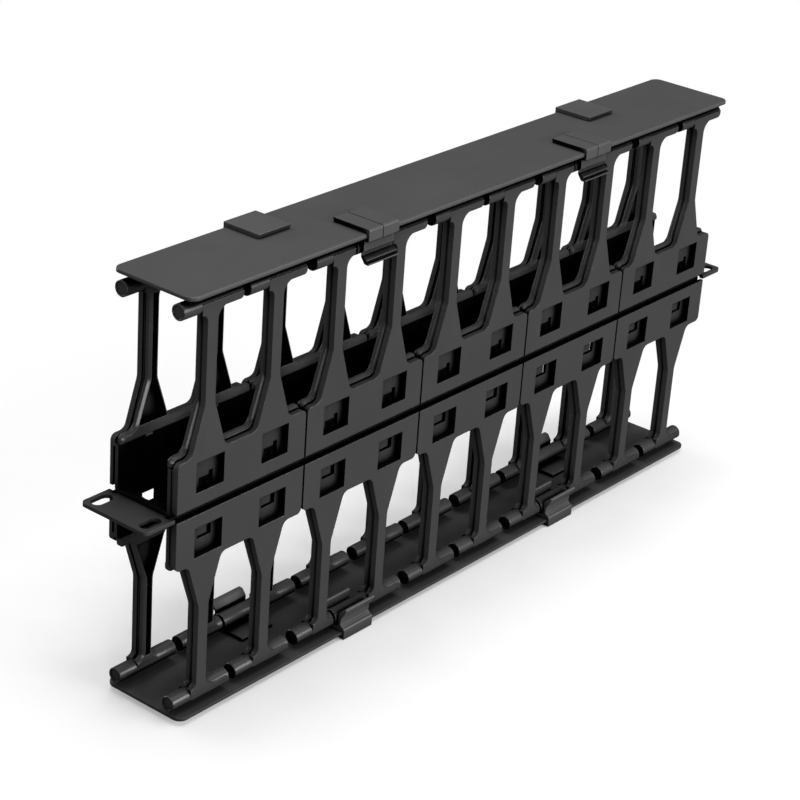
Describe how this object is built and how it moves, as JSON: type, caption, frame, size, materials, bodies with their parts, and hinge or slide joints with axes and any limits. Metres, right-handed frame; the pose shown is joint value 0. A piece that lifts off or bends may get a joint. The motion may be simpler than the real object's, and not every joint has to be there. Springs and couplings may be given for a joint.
{
  "type": "horizontal cable manager",
  "caption": "Double-sided horizontal cable manager for a rack: rows of T-shaped fingers on back-to-back channels, with hinged, latching covers front and rear.",
  "frame": {"origin": "under the middle of the part, on the plane of the rear cover's four clip pads", "axes": "+X along the rack's width, +Y across the duct, +Z out of the rack's front"},
  "size_m": [0.4826, 0.0554, 0.2274],
  "materials": {
    "channel_steel": "satin black powder coat",
    "finger_plastic": "satin moulded black",
    "clip_plastic": "satin moulded black",
    "cover_sheet": "satin black powder coat"
  },
  "bodies": {
    "chassis": {"ear_channel": "channel_steel", "back_channel": "channel_steel", "fingers_front_near_1": "finger_plastic", "fingers_front_near_2": "finger_plastic", "fingers_front_near_3": "finger_plastic", "fingers_front_near_4": "finger_plastic", "fingers_front_near_5": "finger_plastic", "fingers_rear_near_1": "finger_plastic", "fingers_rear_near_2": "finger_plastic", "fingers_rear_near_3": "finger_plastic", "fingers_rear_near_4": "finger_plastic", "fingers_rear_near_5": "finger_plastic", "fingers_front_far_1": "finger_plastic", "fingers_front_far_2": "finger_plastic", "fingers_front_far_3": "finger_plastic", "fingers_front_far_4": "finger_plastic", "fingers_front_far_5": "finger_plastic", "fingers_rear_far_1": "finger_plastic", "fingers_rear_far_2": "finger_plastic", "fingers_rear_far_3": "finger_plastic", "fingers_rear_far_4": "finger_plastic", "fingers_rear_far_5": "finger_plastic"},
    "front_cover": {"front_cover": "cover_sheet", "front_latch_clip_left": "clip_plastic", "front_latch_clip_right": "clip_plastic", "front_hinge_clip_left": "clip_plastic", "front_hinge_clip_right": "clip_plastic"},
    "rear_cover": {"rear_cover": "cover_sheet", "rear_latch_clip_left": "clip_plastic", "rear_latch_clip_right": "clip_plastic", "rear_hinge_clip_left": "clip_plastic", "rear_hinge_clip_right": "clip_plastic"}
  },
  "joints": [
    {"name": "front_cover_hinge", "type": "hinge", "parent": "chassis", "child": "front_cover", "pos_m": [0, 0.0181, 0.2165], "axis": [-1, 0, 0], "range_deg": [0, 95]},
    {"name": "rear_cover_hinge", "type": "hinge", "parent": "chassis", "child": "rear_cover", "pos_m": [0, -0.0181, 0.0109], "axis": [-1, 0, 0], "range_deg": [0, 95]}
  ]
}
